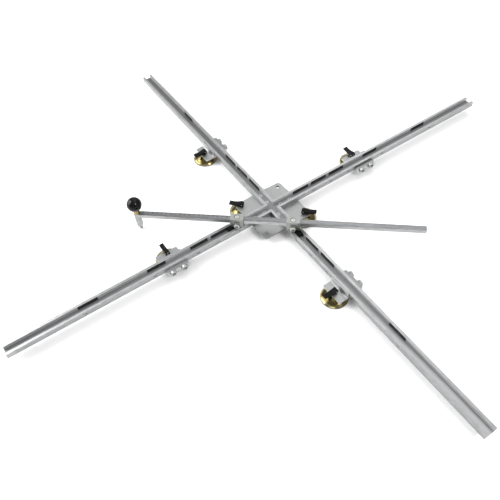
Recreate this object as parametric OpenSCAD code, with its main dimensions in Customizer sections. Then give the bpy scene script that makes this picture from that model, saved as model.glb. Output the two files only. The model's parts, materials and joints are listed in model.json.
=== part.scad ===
// Oval glass cutter: a bar with a cutter runs on two shoes in two crossed rails, and six suction
// cups hold the cross on the glass. The rails lie along X and Y, and the glass is the plane z = 0.

/* [Rails] */
// Length of an arm, from the centre of the cross to its end
arm_length = 600; // [540:10:700]
// Width of a rail
rail_width = 25; // [23:0.5:28]
// Height of a rail
rail_height = 12; // [11.5:0.5:16]
// Width of the groove that guides a shoe
groove_width = 14; // [13:0.5:15]
// Depth of the groove
groove_depth = 8; // [7.5:0.25:8.5]
// Thread diameter of the countersunk screws in the groove's floor
arm_screw_d = 5; // [4:0.5:6]
// Distance from the centre to the first screw of an arm
arm_screw_start = 22; // [18:1:26]
// Distance between the two screws of an arm
arm_screw_pitch = 24; // [16:1:28]

/* [Marker strips] */
// Distance from the centre to the first strip place
strip_start = 60; // [50:1:70]
// Distance between neighbouring strip places
strip_pitch = 50; // [45:1:55]
// Length of a strip
strip_length = 42; // [30:1:44]
// Height of a strip
strip_height = 6; // [4:0.25:6.5]
// Thickness of a strip, let into the groove's wall
strip_thickness = 1; // [0.6:0.1:2]
// Distance from the rail's top to a strip
strip_drop = 0.8; // [0.5:0.1:1]

/* [Base plate] */
// Side of the square plate
plate_side = 120; // [114:1:140]
// Thickness of the plate
plate_thickness = 4; // [3:0.5:6]
// Radius of the plate's corners
plate_corner = 8; // [4:1:11]
// Distance of the corner holes from the plate's centre lines
plate_hole_offset = 48; // [46:0.5:50]
// Diameter of the two free corner holes
plate_hole_d = 7.5; // [7:0.5:8.5]

/* [Suction cups] */
// Height of a cup, from the glass to the plate above it
cup_height = 14; // [13:0.5:18]
// Diameter of the rubber pad
pad_d = 56; // [50:1:60]
// Thickness of the pad's rim
pad_thickness = 2.2; // [1.8:0.1:3]
// Width of the ring that seals on the glass
pad_seal = 4; // [3:0.5:6]
// Depth of the hollow under the pad
pad_hollow = 1.2; // [0.8:0.1:1.4]
// Diameter of the boss on the pad
pad_boss_d = 16; // [12:0.5:20]
// Height of the boss above the glass
pad_boss_top = 9.5; // [8:0.25:10]
// Wall of the metal dome
dome_wall = 1.4; // [1:0.1:2]
// Width of the dome's flat rim
dome_rim = 2; // [1.5:0.25:4]
// Thickness of the dome's flat rim
dome_rim_thickness = 1.2; // [1:0.1:2]
// Diameter of the stem
stem_d = 6; // [5:0.25:6.5]
// Thickness of the stem's flat tongue
tongue_thickness = 4; // [3:0.25:4.5]

/* [Cam levers] */
// Length of a lever, from the pin to the tip
lever_reach = 28; // [24:0.5:36]
// Width of a lever
lever_width = 9; // [8.5:0.25:12]
// Thickness of a lever at its tip
lever_tip = 4.8; // [4:0.2:6]
// Height of the middle of the tip above the pin
lever_rise = 1; // [0:0.25:2]
// Depth of the dip in a lever's top
lever_dip = 2.1; // [1:0.1:2.8]
// Radius of the cam
cam_radius = 5.5; // [5.25:0.25:7]
// Distance of the cam's centre in front of the pin
cam_forward = 1; // [0.6:0.1:1.4]
// Distance of the cam's centre below the pin
cam_low = 0.3; // [0.1:0.1:0.6]
// Angle through which a lever tips up
lever_swing = 75; // [60:1:85]
// Diameter of the cross pin
pin_d = 3; // [2:0.25:3.5]

/* [Carriers] */
// Distance of a carrier from the centre of the cross
carrier_distance = 246; // [215:1:500]
// Length of the bracket along the rail
carrier_length = 50; // [46:1:60]
// Thickness of the bracket
bracket_thickness = 3; // [2.5:0.25:4]
// Inside radius of the bracket's bend
bracket_bend = 2; // [1:0.25:3]
// Reach of the shelf from the rail's centre line
shelf_reach = 36; // [33:0.5:44]
// Radius of the shelf's outer corners
shelf_corner = 3; // [1:0.5:6]
// Distance of the cup's axis from the rail's centre line
cup_offset = 26; // [25.5:0.5:29]
// Length of the jaw along the rail
jaw_length = 50; // [46:1:60]
// Thickness of the jaw, from the rail outwards
jaw_thickness = 9; // [7:0.5:12]
// Height of the jaw
jaw_height = 12.5; // [12:0.25:14]
// Distance from the rail's top down to the jaw's top
jaw_drop = 5.5; // [4.5:0.25:6]
// Radius of the jaw's outer corners
jaw_corner = 3.5; // [1:0.5:5]
// Distance from the rail's top down to the lip's edge
lip_drop = 0.5; // [0:0.25:4]
// Distance between the two jaw bolts
bolt_spacing = 26; // [24:1:30]
// Height of the bolts' axes above the rail's underside
bolt_rise = 1.5; // [1:0.25:2]
// Thread diameter of the jaw bolts
bolt_d = 6; // [4:0.5:6]
// Diameter of a bolt's head
bolt_head_d = 13; // [11:0.5:14]
// Height of a bolt's head
bolt_head_h = 5.5; // [4:0.5:8]
// Size of the hexagon socket in a bolt's head, across its corners
bolt_socket_d = 6.9; // [5:0.1:8]

/* [Trammel] */
// Length of the bar
bar_length = 598; // [520:1:640]
// Width of the bar
bar_width = 12; // [10:0.5:13]
// Height of the bar
bar_height = 10; // [8:0.5:13]
// Chamfer along the bar's edges
bar_chamfer = 0.6; // [0.2:0.1:1.2]
// Angle of the bar from the X axis
bar_angle = -40.5; // [-50:0.5:-34]
// Distance between the two pivots
pivot_spacing = 117; // [110:1:140]
// Distance from the cutter's axis to the first pivot
cutter_radius = 216; // [190:1:250]
// Length of a clamp block along the bar
clamp_length = 28; // [24:0.5:34]
// Depth of a clamp block across the bar
clamp_depth = 18; // [17.5:0.5:24]
// Gap between the rail's top and the clamp blocks
clamp_lift = 1.5; // [1.25:0.25:3]
// Height of a clamp block below the bar
clamp_foot = 8.5; // [8:0.25:12]
// Height of a clamp block above the bar
clamp_cap = 3.5; // [3:0.25:6]
// Radius of a clamp block's upright corners
clamp_corner = 1.5; // [0.5:0.25:3]
// Diameter of the recess in a clamp block's top
clamp_recess_d = 12; // [10.5:0.5:14]
// Depth of the recess
clamp_recess = 1.6; // [1.4:0.1:2]
// Diameter of the round head of a clamp screw
clamp_screw_head_d = 12.4; // [9:0.2:12.6]
// Height of the round head
clamp_screw_head_h = 5; // [3:0.5:7]
// Thread diameter of the clamp screws
clamp_screw_d = 5; // [3:0.5:5]
// Height of a clamp screw's axis above the clamp block's foot
clamp_screw_rise = 5.3; // [5:0.1:5.6]
// Length of a shoe
shoe_length = 48; // [36:1:56]
// Radius of a shoe's corners
shoe_corner = 2.5; // [1:0.25:4]
// Diameter of the pivot studs
stud_d = 8; // [7:0.25:8.5]
// Diameter of the studs' collars
stud_collar_d = 12.4; // [10:0.2:12.8]
// Diameter of the studs' lower ends, in the shoes
stud_foot_d = 6; // [5:0.25:7]
// Play of the second stud in its clamp block
open_pivot_play = 2.8; // [2.6:0.1:3]

/* [Cutter] */
// Width of the holder along the bar
holder_width = 13; // [12.5:0.5:16]
// Depth of the holder across the bar
holder_depth = 12; // [11:0.5:16]
// Radius of the holder's upright corners
holder_corner = 4; // [1:0.25:4.5]
// Width of the holder's foot
holder_foot = 9.5; // [8.5:0.25:11]
// Height of the taper above the holder's foot
holder_taper = 4; // [3:0.5:8]
// Height of the holder's foot above the glass
holder_lift = 11; // [9.5:0.25:14]
// Diameter of the ferrule at its foot
ferrule_d = 14; // [12:0.5:16]
// Diameter of the ferrule at its top
ferrule_top_d = 12; // [10:0.5:14]
// Height of the ferrule
ferrule_height = 10; // [6:0.5:16]
// Diameter of the ball knob
knob_d = 32; // [26:1:40]
// Diameter of the flat seat under the ball
knob_seat_d = 9; // [6:0.5:10]
// Diameter of the cutting head
head_d = 8; // [7.5:0.25:8.5]
// Diameter of the cutting head's shank
head_shank_d = 5; // [3.5:0.25:5.5]
// Length of the shank in the holder
head_shank = 9; // [6:0.5:16]
// Diameter of the cutting wheel
wheel_d = 5; // [4:0.25:5.5]
// Thickness of the cutting wheel
wheel_thickness = 1; // [0.6:0.1:1.4]
// Diameter of the wheel's axle
axle_d = 1.2; // [0.8:0.1:1.6]

/* [Hidden] */
$fn = 96;

// Clearances
slide_gap = 0.15;
shoe_gap = 0.2;
floor_gap = 0.1;
running_gap = 0.05;
bolt_gap = 0.1;
bar_gap = 0.1;
cam_gap = 0.3;
stem_gap = 0.3;
slot_gap = 0.5;
tongue_gap = 0.3;
swivel_gap = 0.2;

// Heights above the glass
plate_top = cup_height + plate_thickness;
rail_bottom = plate_top;
rail_top = rail_bottom + rail_height;
groove_floor = rail_top - groove_depth;
shelf_top = cup_height + bracket_thickness;
seat_top = rail_bottom - slide_gap;
bolt_z = rail_bottom + bolt_rise;
lip_top = rail_top - lip_drop;
jaw_bottom = rail_top - jaw_drop - jaw_height;
clamp_bottom = rail_top + clamp_lift;
bar_bottom = clamp_bottom + clamp_foot;
bar_top = bar_bottom + bar_height;
clamp_top = bar_top + clamp_cap;
clamp_screw_z = clamp_bottom + clamp_screw_rise;
knob_seat_z = bar_top + ferrule_height;

// Arms: name, direction, side of the groove that carries strips, strip places
x_strips = [0, 1, 2, 4, 7];
y_strips = [0, 1, 2, 6];
ARMS = [
    ["xp", 0, 1, x_strips],
    ["xm", 180, -1, x_strips],
    ["yp", 90, -1, y_strips],
    ["ym", 270, 1, y_strips]
];
arm_screw_places = [arm_screw_start, arm_screw_start + arm_screw_pitch];
head_ratio = 1.8;
socket_ratio = 0.7;
arm_screw_head_d = arm_screw_d * head_ratio;
arm_screw_sink = 0.1;
arm_screw_socket = 1.4;

// Cups under the plate: name and direction of the corner
PLATE_CUPS = [["left", 135], ["right", -45]];

// Carriers: name, place and direction of the rail
CARRIERS = [
    ["xp", [carrier_distance, 0, 0], 0],
    ["xm", [-carrier_distance, 0, 0], 0],
    ["yp", [0, carrier_distance, 0], 90],
    ["ym", [0, -carrier_distance, 0], 90]
];
lip_inside = rail_width / 2 + slide_gap;
lip_outside = lip_inside + bracket_thickness;
jaw_outside = lip_inside + jaw_thickness;
head_chamfer = 0.8;

// Dome: a shallow sphere through its rim, cut flat where it meets the plate above
dome_crown = 0.5;
dome_base = pad_thickness + dome_rim_thickness;
dome_base_r = pad_d / 2 - dome_rim;
dome_rise = cup_height + dome_crown - dome_base;
dome_radius = (dome_base_r ^ 2 + dome_rise ^ 2) / (2 * dome_rise);
dome_centre = cup_height + dome_crown - dome_radius;
stem_hole_r = stem_d / 2 + stem_gap;

// Hollow under the pad, and the socket that holds the stem
hollow_r = pad_d / 2 - pad_seal;
hollow_radius = (hollow_r ^ 2 + pad_hollow ^ 2) / (2 * pad_hollow);
socket_skin = 1;
socket_floor = pad_thickness + socket_skin;

// The pin sits one cam height above its seat, and comes down as the lever tips up
pin_height = cam_radius + cam_low + cam_gap;
stem_drop = cam_low + cam_forward * sin(lever_swing) - cam_low * cos(lever_swing);
stem_bottom = socket_floor + stem_drop + stem_gap;
pin_stick = 0.3;
pin_length = lever_width + 2 * pin_stick;
lever_top = cam_radius - cam_low;
dip_radius = 40;
handle_inset = 0.7;
stem_sink = 0.4;
slot_edge = stem_d / 2 + slot_gap;

// The bar's end lies on a shoulder of the cutter's holder, against the holder's full depth
lap_inset = 0.5;
lap_face = holder_width / 2 - holder_corner - lap_inset;

// Trammel: pivots where the bar crosses the middle lines of the two rails
pivot_a = [-pivot_spacing * cos(bar_angle), 0, 0];
pivot_b = [0, pivot_spacing * sin(bar_angle), 0];
bar_start = lap_face - cutter_radius;
shoe_width = groove_width - 2 * shoe_gap;
shoe_bottom = groove_floor + floor_gap;
shoe_drop = 0.8;
shoe_floor = 1;
shoe_top = rail_top - shoe_drop;
stud_foot_z = shoe_bottom + shoe_floor;
stud_end_gap = 0.7;
stud_top = bar_bottom - stud_end_gap;
stud_groove = 0.8;
stud_groove_d = stud_d - 2 * stud_groove;
stud_groove_h = 3.2;
clamp_screw_tip_d = 2.4;
screw_end_gap = 0.3;
tight_pivot_r = stud_d / 2 + running_gap;
open_pivot_r = stud_d / 2 + open_pivot_play;
set_screw_head_d = 9.2;
set_screw_sink = 0.4;
set_screw_socket = 0.8;

// Cutter
wheel_lift = 0.2;
wheel_z = wheel_lift + wheel_d / 2;
fork_bottom = 1.4;
fork_gap = 0.25;
wheel_gap = 0.5;
fork_top = wheel_lift + wheel_d + wheel_gap;
fork_d = 6;
shank_end_gap = 0.5;
wheel_bevel = 0.6;
knob_z = knob_seat_z + sqrt(knob_d ^ 2 - knob_seat_d ^ 2) / 2;

carrier_pieces = ["bracket", "jaw", "jaw_bolts", "dome", "pad", "stem", "lever"];
cup_pieces = ["dome", "pad", "stem", "lever"];

// Colours
rail_colour = [0.76, 0.77, 0.78];
plate_colour = [0.68, 0.69, 0.69];
zinc_colour = [0.80, 0.81, 0.80];
gold_colour = [0.78, 0.64, 0.28];
brass_colour = [0.80, 0.66, 0.40];
black_colour = [0.07, 0.07, 0.08];
holder_colour = [0.82, 0.83, 0.82];

// Rectangle about the origin with round corners
module rounded_rectangle(length, width, radius) {
    square([length, width - 2 * radius], center = true);
    square([length - 2 * radius, width], center = true);
    for (x = [-1, 1], y = [-1, 1])
        translate([x * (length / 2 - radius), y * (width / 2 - radius)])
            circle(radius);
}

// Rectangle from the origin with cut corners
module chamfered_rectangle(length, width, cut) {
    polygon([
        [cut, 0], [length - cut, 0], [length, cut], [length, width - cut],
        [length - cut, width], [cut, width], [0, width - cut], [0, cut]
    ]);
}

// Places
module at_plate_cup(cup) {
    rotate(cup[1])
        translate([plate_hole_offset * sqrt(2), 0, 0])
            children();
}

module at_carrier(carrier) {
    translate(carrier[1])
        rotate(carrier[2])
            children();
}

module at_carrier_cup(carrier) {
    at_carrier(carrier)
        translate([0, cup_offset, 0])
            rotate(90)
                children();
}

// Along the bar, with the first pivot at the origin and the second on the X axis
module along_bar(distance = 0) {
    translate(pivot_a)
        rotate(bar_angle)
            translate([distance, 0, 0])
                children();
}

module each_arm_screw() {
    for (arm = ARMS, place = arm_screw_places)
        rotate(arm[1])
            translate([place, 0, 0])
                children();
}

// Room for one countersunk screw, or the screw itself
module countersunk_screw(gap, top) {
    head_h = (arm_screw_head_d - arm_screw_d) / 2;
    translate([0, 0, cup_height])
        cylinder(d = arm_screw_d + 2 * gap, h = top - cup_height);
    translate([0, 0, top - head_h])
        cylinder(d1 = arm_screw_d + 2 * gap, d2 = arm_screw_head_d + 2 * gap, h = head_h);
}

// Base plate and arms
module base_plate() {
    color(plate_colour)
        difference() {
            translate([0, 0, cup_height])
                linear_extrude(plate_thickness)
                    rounded_rectangle(plate_side, plate_side, plate_corner);
            for (side = [-1, 1])
                translate([side * plate_hole_offset, side * plate_hole_offset, cup_height - 1])
                    cylinder(d = plate_hole_d, h = plate_thickness + 2);
            for (cup = PLATE_CUPS)
                at_plate_cup(cup)
                    translate([0, 0, cup_height - 1])
                        cylinder(r = stem_hole_r, h = plate_thickness + 2);
            each_arm_screw()
                translate([0, 0, cup_height - 1])
                    cylinder(d = arm_screw_d + 2 * bolt_gap, h = plate_thickness + 2);
        }
}

module arm_outline() {
    half = rail_width / 2;
    polygon([[0, 0], [half, -half], [arm_length, -half], [arm_length, half], [half, half]]);
}

module strip_blocks(arm) {
    wall = arm[2] * (groove_width + strip_thickness) / 2;
    middle = rail_top - strip_drop - strip_height / 2;
    for (place = arm[3])
        translate([strip_start + place * strip_pitch + strip_length / 2, wall, middle])
            cube([strip_length, strip_thickness, strip_height], center = true);
}

module arm(arm) {
    color(rail_colour)
        rotate(arm[1])
            difference() {
                translate([0, 0, rail_bottom])
                    linear_extrude(rail_height)
                        arm_outline();
                translate([-1, -groove_width / 2, groove_floor])
                    cube([arm_length + 2, groove_width, groove_depth + 1]);
                strip_blocks(arm);
                for (place = arm_screw_places)
                    translate([place, 0, 0])
                        countersunk_screw(bolt_gap, groove_floor);
            }
}

module marker_strips() {
    color(black_colour)
        for (arm = ARMS)
            rotate(arm[1])
                strip_blocks(arm);
}

module arm_screws() {
    head_top = groove_floor - arm_screw_sink;
    color(zinc_colour)
        each_arm_screw()
            difference() {
                countersunk_screw(0, head_top);
                translate([0, 0, head_top - arm_screw_socket])
                    cylinder(d = arm_screw_d * socket_ratio, h = rail_height, $fn = 6);
            }
}

// Suction cup, about its own axis, with the lever along X
module dome() {
    color(gold_colour)
        rotate_extrude($fn = 180) {
            intersection() {
                difference() {
                    translate([0, dome_centre])
                        circle(dome_radius, $fn = 360);
                    translate([0, dome_centre])
                        circle(dome_radius - dome_wall, $fn = 360);
                }
                translate([stem_hole_r, pad_thickness])
                    square([pad_d / 2 - stem_hole_r, cup_height - pad_thickness]);
            }
            translate([dome_base_r - dome_wall, pad_thickness])
                square([dome_rim + dome_wall, dome_rim_thickness]);
        }
}

module pad() {
    color(black_colour)
        rotate_extrude($fn = 180)
            difference() {
                union() {
                    square([pad_d / 2, pad_thickness]);
                    square([pad_boss_d / 2, pad_boss_top]);
                }
                translate([0, pad_hollow - hollow_radius])
                    circle(hollow_radius, $fn = 1440);
                translate([0, socket_floor])
                    square([stem_hole_r, pad_boss_top]);
            }
}

// Flat tongue with a round top about the pin, so that the lever's slot swings clear of it
module tongue(bottom, pin_z) {
    translate([-stem_d, -tongue_thickness / 2, bottom])
        cube([2 * stem_d, tongue_thickness, pin_z - bottom]);
    translate([0, 0, pin_z])
        rotate([90, 0, 0])
            cylinder(r = slot_edge - tongue_gap, h = tongue_thickness, center = true);
}

// Round stem with two flats above the plate, and the lever's cross pin pressed in
module stem(seat) {
    pin_z = seat + pin_height;
    round_top = seat - stem_sink;
    stem_top = pin_z + stem_d / 2;
    color(zinc_colour) {
        translate([0, 0, stem_bottom])
            cylinder(d = stem_d, h = round_top - stem_bottom);
        intersection() {
            translate([0, 0, stem_bottom])
                cylinder(d = stem_d, h = stem_top - stem_bottom);
            tongue(round_top - stem_sink, pin_z);
        }
        translate([0, 0, pin_z])
            rotate([90, 0, 0])
                cylinder(d = pin_d, h = pin_length, center = true);
    }
}

// Side of the lever's handle, with a dip for the finger
module handle_outline(tip_centre) {
    dip_middle = (lever_reach + cam_radius) / 2;
    dip_bottom = lever_rise + lever_tip / 2 - lever_dip / 2;
    difference() {
        polygon([
            [cam_forward, lever_top - handle_inset],
            tip_centre + [0, lever_tip / 2],
            tip_centre - [0, lever_tip / 2],
            [cam_forward, handle_inset - cam_low - cam_radius]
        ]);
        translate([dip_middle, dip_bottom + dip_radius])
            circle(dip_radius, $fn = 360);
    }
}

// Round cam off the pin, handle and round tip
module lever_blank() {
    tip_centre = [lever_reach - lever_tip / 2, lever_rise];
    rotate([90, 0, 0]) {
        linear_extrude(lever_width, center = true)
            translate([cam_forward, -cam_low])
                circle(cam_radius);
        linear_extrude(lever_width, center = true)
            handle_outline(tip_centre);
        linear_extrude(lever_width, center = true)
            translate(tip_centre)
                circle(d = lever_tip);
    }
}

module lever(seat) {
    slot_width = tongue_thickness + 2 * tongue_gap;
    slot_reach = 2 * cam_radius;
    color(black_colour)
        translate([0, 0, seat + pin_height])
            difference() {
                lever_blank();
                translate([slot_edge - slot_reach, -slot_width / 2, slot_edge - slot_reach])
                    cube([slot_reach, slot_width, slot_reach]);
                rotate([90, 0, 0])
                    cylinder(d = pin_d + 2 * running_gap, h = lever_width + 2, center = true);
            }
}

// Carrier, with its rail along X and its cup towards Y
module bracket_section() {
    translate([-lip_inside, cup_height])
        square([lip_inside + lip_outside, seat_top - cup_height]);
    translate([lip_inside, cup_height])
        square([bracket_thickness, lip_top - cup_height]);
    difference() {
        translate([lip_inside, cup_height])
            square([bracket_thickness + bracket_bend, bracket_thickness + bracket_bend]);
        translate([lip_outside + bracket_bend, shelf_top + bracket_bend])
            circle(bracket_bend);
    }
}

// Rectangle from the rail's side outwards, with its two outer corners rounded
module ledge_outline(length, reach, corner) {
    width = reach - lip_inside;
    translate([-length / 2, lip_inside])
        square([length, width - corner]);
    translate([corner - length / 2, lip_inside])
        square([length - 2 * corner, width]);
    for (side = [-1, 1])
        translate([side * (length / 2 - corner), reach - corner])
            circle(corner);
}

module each_bolt() {
    for (side = [-1, 1])
        translate([side * bolt_spacing / 2, 0, bolt_z])
            rotate([90, 0, 0])
                children();
}

module bracket() {
    color(zinc_colour)
        difference() {
            union() {
                rotate([90, 0, 90])
                    linear_extrude(carrier_length, center = true)
                        bracket_section();
                translate([0, 0, cup_height])
                    linear_extrude(bracket_thickness)
                        ledge_outline(carrier_length, shelf_reach, shelf_corner);
            }
            translate([0, cup_offset, cup_height - 1])
                cylinder(r = stem_hole_r, h = bracket_thickness + 2);
        }
}

// Block on the end of the bracket's seat, across the rail from the cup
module jaw() {
    color(zinc_colour)
        difference() {
            translate([0, 0, jaw_bottom])
                rotate(180)
                    linear_extrude(jaw_height)
                        ledge_outline(jaw_length, jaw_outside, jaw_corner);
            each_bolt()
                cylinder(d = bolt_d + 2 * bolt_gap, h = 2 * jaw_outside);
        }
}

// Round head with a chamfered edge and a hexagon socket, standing on the plane z = 0
module socket_head(d, h, socket_d) {
    difference() {
        union() {
            cylinder(d = d, h = h - head_chamfer);
            translate([0, 0, h - head_chamfer])
                cylinder(d1 = d, d2 = d - 2 * head_chamfer, h = head_chamfer);
        }
        translate([0, 0, h / 2])
            cylinder(d = socket_d, h = h, $fn = 6);
    }
}

// Bolts through the jaw, whose ends lock the carrier against the side of the rail's floor
module jaw_bolts() {
    color(zinc_colour)
        each_bolt() {
            translate([0, 0, jaw_outside])
                socket_head(bolt_head_d, bolt_head_h, bolt_socket_d);
            translate([0, 0, lip_inside])
                cylinder(d = bolt_d, h = jaw_thickness);
        }
}

// Trammel
module shoe() {
    color(black_colour)
        difference() {
            translate([0, 0, shoe_bottom])
                linear_extrude(shoe_top - shoe_bottom)
                    rounded_rectangle(shoe_length, shoe_width, shoe_corner);
            translate([0, 0, stud_foot_z - running_gap])
                cylinder(d = stud_foot_d + 2 * running_gap, h = rail_height);
        }
}

// Pivot stud: foot in the shoe, collar under the clamp block, and a groove for the clamp screw's tip
module stud() {
    collar_top = clamp_bottom - swivel_gap;
    color(zinc_colour)
        difference() {
            union() {
                translate([0, 0, stud_foot_z])
                    cylinder(d = stud_foot_d, h = shoe_top - stud_foot_z);
                translate([0, 0, shoe_top])
                    cylinder(d = stud_collar_d, h = collar_top - shoe_top);
                translate([0, 0, collar_top])
                    cylinder(d = stud_d, h = stud_top - collar_top);
            }
            translate([0, 0, clamp_screw_z])
                difference() {
                    cylinder(d = stud_collar_d, h = stud_groove_h, center = true);
                    cylinder(d = stud_groove_d, h = stud_groove_h + 1, center = true);
                }
        }
}

module clamp(pivot_r) {
    color(zinc_colour)
        difference() {
            translate([0, 0, clamp_bottom])
                linear_extrude(clamp_top - clamp_bottom)
                    rounded_rectangle(clamp_length, clamp_depth, clamp_corner);
            translate([-clamp_length, -bar_width / 2 - bar_gap, bar_bottom - bar_gap])
                cube([2 * clamp_length, bar_width + 2 * bar_gap, bar_height + 2 * bar_gap]);
            translate([0, 0, clamp_bottom - 1])
                cylinder(r = pivot_r, h = clamp_foot + 1);
            translate([0, 0, clamp_screw_z])
                rotate([90, 0, 0])
                    cylinder(d = clamp_screw_d + 2 * bolt_gap, h = clamp_depth);
            translate([0, 0, bar_top])
                cylinder(d = clamp_screw_d + 2 * bolt_gap, h = clamp_cap + 1);
            translate([0, 0, clamp_top - clamp_recess])
                cylinder(d = clamp_recess_d, h = clamp_recess + 1);
        }
}

// Round-headed screw in the near face, and a screw sunk in the top that holds the bar
module clamp_screws(shank_end, tip_end) {
    set_screw_top = clamp_top - set_screw_sink;
    color(zinc_colour) {
        translate([0, 0, clamp_screw_z])
            rotate([90, 0, 0]) {
                translate([0, 0, clamp_depth / 2])
                    socket_head(clamp_screw_head_d, clamp_screw_head_h, bolt_socket_d);
                translate([0, 0, shank_end])
                    cylinder(d = clamp_screw_d, h = clamp_depth / 2 - shank_end);
                translate([0, 0, tip_end])
                    cylinder(d = clamp_screw_tip_d, h = clamp_depth / 2 - tip_end);
            }
        difference() {
            union() {
                translate([0, 0, clamp_top - clamp_recess])
                    cylinder(d = set_screw_head_d, h = set_screw_top - clamp_top + clamp_recess);
                translate([0, 0, bar_top + running_gap])
                    cylinder(d = clamp_screw_d, h = set_screw_top - bar_top - running_gap);
            }
            translate([0, 0, set_screw_top - set_screw_socket])
                cylinder(d = clamp_screw_d * socket_ratio, h = clamp_cap, $fn = 6);
        }
    }
}

module bar() {
    color(rail_colour)
        translate([bar_start, 0, 0])
            rotate([90, 0, 90])
                linear_extrude(bar_length)
                    translate([-bar_width / 2, bar_bottom])
                        chamfered_rectangle(bar_width, bar_height, bar_chamfer);
}

// Cutter, about the axis of its head. The taper's two sides run on past the holder's foot and corners.
module taper_outline() {
    half = holder_width / 2;
    foot = holder_foot / 2;
    low = 2 * foot - half;
    wide = 2 * half - foot;
    shoulder = holder_lift + 2 * holder_taper;
    polygon([
        [-low, holder_lift - holder_taper], [low, holder_lift - holder_taper], [wide, shoulder],
        [wide, bar_top + 1], [-wide, bar_top + 1], [-wide, shoulder]
    ]);
}

// Post with round corners, a tapered foot, and a shoulder for the bar's end
module cutter_holder() {
    color(holder_colour)
        difference() {
            intersection() {
                translate([0, 0, holder_lift])
                    linear_extrude(bar_top - holder_lift)
                        rounded_rectangle(holder_width, holder_depth, holder_corner);
                rotate([90, 0, 0])
                    linear_extrude(2 * holder_depth, center = true)
                        taper_outline();
            }
            translate([lap_face, -holder_depth, bar_bottom])
                cube([holder_width, 2 * holder_depth, 2 * bar_height]);
            translate([0, 0, holder_lift - 1])
                cylinder(d = head_shank_d + 2 * running_gap, h = head_shank + shank_end_gap + 1);
        }
}

module ferrule() {
    color(brass_colour)
        translate([0, 0, bar_top])
            cylinder(d1 = ferrule_d, d2 = ferrule_top_d, h = ferrule_height);
}

module knob() {
    color(black_colour)
        difference() {
            translate([0, 0, knob_z])
                sphere(d = knob_d, $fn = 180);
            translate([-knob_d, -knob_d, knob_seat_z - knob_d])
                cube([2 * knob_d, 2 * knob_d, knob_d]);
        }
}

module cutting_head() {
    head_top = holder_lift - swivel_gap;
    slot = wheel_thickness + 2 * fork_gap;
    color(zinc_colour)
        difference() {
            union() {
                translate([0, 0, fork_bottom])
                    cylinder(d1 = fork_d, d2 = head_d, h = fork_top - fork_bottom);
                translate([0, 0, fork_top])
                    cylinder(d = head_d, h = head_top - fork_top);
                translate([0, 0, head_top])
                    cylinder(d = head_shank_d, h = head_shank);
            }
            translate([-slot / 2, -head_d, -1])
                cube([slot, 2 * head_d, fork_top + 1]);
            translate([0, 0, wheel_z])
                rotate([0, 90, 0])
                    cylinder(d = axle_d + 2 * running_gap, h = 2 * head_d, center = true);
        }
}

module wheel_axle() {
    color(zinc_colour)
        translate([0, 0, wheel_z])
            rotate([0, 90, 0])
                cylinder(d = axle_d, h = fork_d, center = true);
}

// Wheel with a sharp edge, running on its axle
module cutting_wheel() {
    bore = axle_d / 2 + running_gap;
    half = wheel_thickness / 2;
    shoulder = wheel_d / 2 - wheel_bevel;
    color(zinc_colour)
        translate([0, 0, wheel_z])
            rotate([0, 90, 0])
                rotate_extrude()
                    polygon([
                        [bore, -half], [shoulder, -half], [wheel_d / 2, 0], [shoulder, half], [bore, half]
                    ]);
}

// Cross
base_plate();
arm_screws();
marker_strips();
for (a = ARMS) {
    arm(a);
}
for (c = PLATE_CUPS) {
    at_plate_cup(c) dome();
    at_plate_cup(c) pad();
    at_plate_cup(c) stem(plate_top);
    at_plate_cup(c) lever(plate_top);
}

// Carriers
for (c = CARRIERS) {
    at_carrier(c) bracket();
    at_carrier(c) jaw();
    at_carrier(c) jaw_bolts();
    at_carrier_cup(c) dome();
    at_carrier_cup(c) pad();
    at_carrier_cup(c) stem(shelf_top);
    at_carrier_cup(c) lever(shelf_top);
}

// Trammel
translate(pivot_a) shoe();  // shoe_a
translate(pivot_a) stud();  // stud_a
along_bar() clamp(tight_pivot_r);  // clamp_a
along_bar() clamp_screws(tight_pivot_r + screw_end_gap, stud_groove_d / 2 + screw_end_gap);  // clamp_a_screws
along_bar() bar();
along_bar(pivot_spacing) clamp(open_pivot_r);  // clamp_b
along_bar(pivot_spacing) clamp_screws(open_pivot_r, open_pivot_r);  // clamp_b_screws
translate(pivot_b) rotate(90) shoe();  // shoe_b
translate(pivot_b) rotate(90) stud();  // stud_b
along_bar(-cutter_radius) cutter_holder();
along_bar(-cutter_radius) ferrule();
along_bar(-cutter_radius) knob();
along_bar(-cutter_radius) cutting_head();
along_bar(-cutter_radius) wheel_axle();
along_bar(-cutter_radius) cutting_wheel();
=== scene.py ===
"""Looks of the oval glass cutter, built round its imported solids. Lengths are in metres."""

import json
import math

import bmesh
import bpy
from mathutils import Matrix, Vector

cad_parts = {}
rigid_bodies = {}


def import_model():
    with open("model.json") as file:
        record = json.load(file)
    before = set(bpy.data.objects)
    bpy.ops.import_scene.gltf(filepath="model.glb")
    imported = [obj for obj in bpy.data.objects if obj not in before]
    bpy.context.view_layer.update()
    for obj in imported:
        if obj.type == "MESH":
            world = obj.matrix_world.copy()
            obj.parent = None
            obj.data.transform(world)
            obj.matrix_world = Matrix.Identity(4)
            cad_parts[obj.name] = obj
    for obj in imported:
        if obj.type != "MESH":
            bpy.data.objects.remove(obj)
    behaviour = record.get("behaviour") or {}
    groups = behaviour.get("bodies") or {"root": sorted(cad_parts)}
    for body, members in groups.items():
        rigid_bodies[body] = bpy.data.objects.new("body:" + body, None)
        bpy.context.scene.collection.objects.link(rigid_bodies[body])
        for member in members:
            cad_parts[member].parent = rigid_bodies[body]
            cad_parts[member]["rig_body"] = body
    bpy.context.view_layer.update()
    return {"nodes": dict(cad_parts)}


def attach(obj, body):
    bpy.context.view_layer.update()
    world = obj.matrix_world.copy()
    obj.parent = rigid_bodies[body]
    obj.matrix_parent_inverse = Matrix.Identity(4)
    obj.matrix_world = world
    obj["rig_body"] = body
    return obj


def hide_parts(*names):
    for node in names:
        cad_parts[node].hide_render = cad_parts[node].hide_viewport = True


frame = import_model()
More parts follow.
